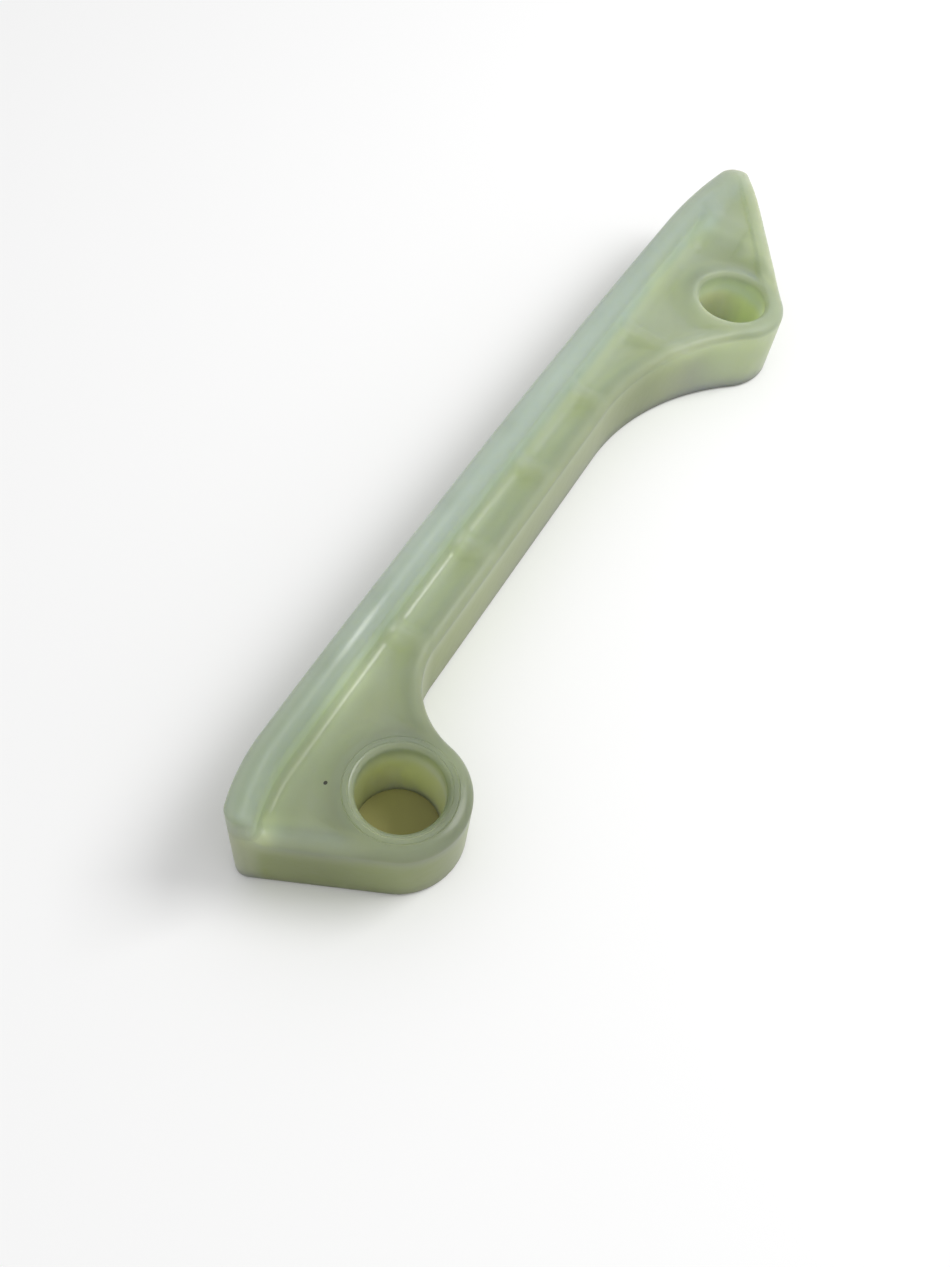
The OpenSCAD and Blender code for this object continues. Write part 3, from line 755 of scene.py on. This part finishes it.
# Table top: white to the eye, a duller warm grey in the light that it throws back on the guide, and a dull
# olive brown where it is seen down the bores, which is painted shade, with a paler painted light that it
# throws up the bores;
# sizes in metres
table = {
    "half": 1.6, "gap": 0.00005, "boreEdge": 0.0058, "fadeFrom": 0.25, "fadeTo": 0.7, "fade": 0.36,
    "seen": "#fbfbfb", "thrown": "#a9a295", "shadeInBore": "#bbb57e", "litBore": "#eef2c4", "roughness": 0.9,
}


# 1 for a ray that comes from the camera, from a reflection or through glass, and 0 for other light: the
# greatest of the three marks
def straightRay(tree):
    ray = addNode(tree, "ShaderNodeLightPath")
    direct = addNode(tree, "ShaderNodeMath", {
        0: ray.outputs["Is Camera Ray"], 1: ray.outputs["Is Glossy Ray"],
    }, operation="MAXIMUM")
    return addNode(tree, "ShaderNodeMath", {
        0: direct.outputs[0], 1: ray.outputs["Is Transmission Ray"],
    }, operation="MAXIMUM")


# One colour for straight rays and one for thrown light, each with its own value inside the bores' edge
# distance, painted shade for the straight rays and painted light for the thrown; far off it glows by a
# smooth step of distance, so that it fades to white with no horizon
def tableMaterial(t):
    material = bpy.data.materials.new("white table")
    material.use_nodes = True
    tree = material.node_tree
    tree.nodes.clear()
    straight = straightRay(tree)
    where = addNode(tree, "ShaderNodeTexCoord")
    near = addNode(tree, "ShaderNodeVectorMath", {
        0: where.outputs["Object"], 1: (0.0, 0.0, 0.0),
    }, operation="DISTANCE")
    far = addNode(tree, "ShaderNodeVectorMath", {
        0: where.outputs["Object"], 1: (guide["pitch"] * mm, guide["farRise"] * mm, 0.0),
    }, operation="DISTANCE")
    nearest = addNode(tree, "ShaderNodeMath", {0: near.outputs[1], 1: far.outputs[1]}, operation="MINIMUM")
    under = addNode(tree, "ShaderNodeMath", {
        0: nearest.outputs[0], 1: t["boreEdge"],
    }, operation="LESS_THAN")
    shown = addNode(tree, "ShaderNodeMix", {
        0: under.outputs[0], 6: linear(t["seen"]), 7: linear(t["shadeInBore"]),
    }, data_type="RGBA")
    thrown = addNode(tree, "ShaderNodeMix", {
        0: under.outputs[0], 6: linear(t["thrown"]), 7: linear(t["litBore"]),
    }, data_type="RGBA")
    colour = addNode(tree, "ShaderNodeMix", {
        0: straight.outputs[0], 6: thrown.outputs[2], 7: shown.outputs[2],
    }, data_type="RGBA")
    glow = addNode(tree, "ShaderNodeMapRange", {
        "Value": near.outputs[1], 1: t["fadeFrom"], 2: t["fadeTo"], 3: 0.0, 4: t["fade"],
    }, interpolation_type="SMOOTHSTEP")
    seenGlow = addNode(tree, "ShaderNodeMath", {
        0: glow.outputs[0], 1: straight.outputs[0],
    }, operation="MULTIPLY")
    shader = addNode(tree, "ShaderNodeBsdfPrincipled", {
        "Base Color": colour.outputs[2], "Roughness": t["roughness"], "Specular IOR Level": 0.0,
        "Emission Color": (1, 1, 1, 1), "Emission Strength": seenGlow.outputs[0],
    })
    addNode(tree, "ShaderNodeOutputMaterial", {"Surface": shader.outputs[0]})
    return material


sheet = bpy.data.meshes.new("tableTop")
corners = np.array([[-1, -1], [1, -1], [1, 1], [-1, 1]]) * table["half"]
sheet.from_pydata(np.column_stack([corners, np.full(4, -table["gap"])]).tolist(), [], [(0, 1, 2, 3)])
tableTop = bpy.data.objects.new("tableTop", sheet)
tableTop.data.materials.append(tableMaterial(table))
bpy.context.scene.collection.objects.link(tableTop)

# Soft light: one broad lamp from beyond the far boss and the back, and an even white surround, in metres
light = {
    "aim": (0.02, 0.008, 0.01), "from": (0.45, -0.45, 0.77), "away": 0.45,
    "wide": 0.22, "power": 1.0, "surround": 0.68,
}


# Turn that looks along forward: right is forward crossed with the hint, and up is right crossed with forward
def turnTo(forward, upHint):
    forward = Vector(forward).normalized()
    right = forward.cross(Vector(upHint)).normalized()
    up = right.cross(forward)
    return Matrix((right, up, -forward)).transposed().to_4x4()


lamp = bpy.data.lights.new("softLamp", "AREA")
lamp.shape = "SQUARE"
lamp.size = light["wide"]
lamp.energy = light["power"]
lampObject = bpy.data.objects.new("softLamp", lamp)
towards = Vector(light["from"]).normalized()
lampPlace = Vector(light["aim"]) + light["away"] * towards
lampObject.matrix_world = Matrix.Translation(lampPlace) @ turnTo(-towards, (0, 0, 1))
bpy.context.scene.collection.objects.link(lampObject)

world = bpy.data.worlds.new("whiteSurround")
bpy.context.scene.world = world
world.use_nodes = True
tree = world.node_tree
tree.nodes.clear()
strength = addNode(tree, "ShaderNodeMapRange", {
    "Value": straightRay(tree).outputs[0], 3: light["surround"], 4: 1.0,
})
glow = addNode(tree, "ShaderNodeBackground", {"Color": (1, 1, 1, 1), "Strength": strength.outputs[0]})
addNode(tree, "ShaderNodeOutputWorld", {"Surface": glow.outputs[0]})
print("table and light done")

# Camera found by fitting both bores and the outline of the photograph, image taken as 950 by 1267; place
# and near clip in metres, roll in radians
view = {
    "lens": 44.337, "sensor": 36.0, "at": (-0.048215, -0.025035, 0.124475),
    "forward": (0.5111, 0.2069, -0.8342), "right": (0.3752, -0.9270, 0.0), "roll": 0.161967,
    "clipStart": 0.005,
}
cameraData = bpy.data.cameras.new("camera")
cameraData.sensor_fit = "HORIZONTAL"
cameraData.sensor_width = view["sensor"]
cameraData.lens = view["lens"]
cameraData.clip_start = view["clipStart"]
cameraObject = bpy.data.objects.new("camera", cameraData)
forward = Vector(view["forward"]).normalized()
right = Vector(view["right"]).normalized()
up = right.cross(forward)
tilted = math.cos(view["roll"]) * right + math.sin(view["roll"]) * up
upright = -math.sin(view["roll"]) * right + math.cos(view["roll"]) * up
cameraObject.matrix_world = (
    Matrix.Translation(Vector(view["at"])) @ Matrix((tilted, upright, -forward)).transposed().to_4x4())
bpy.context.scene.collection.objects.link(cameraObject)
bpy.context.scene.camera = cameraObject
bpy.context.scene.view_settings.view_transform = "Standard"

print("scene ready")
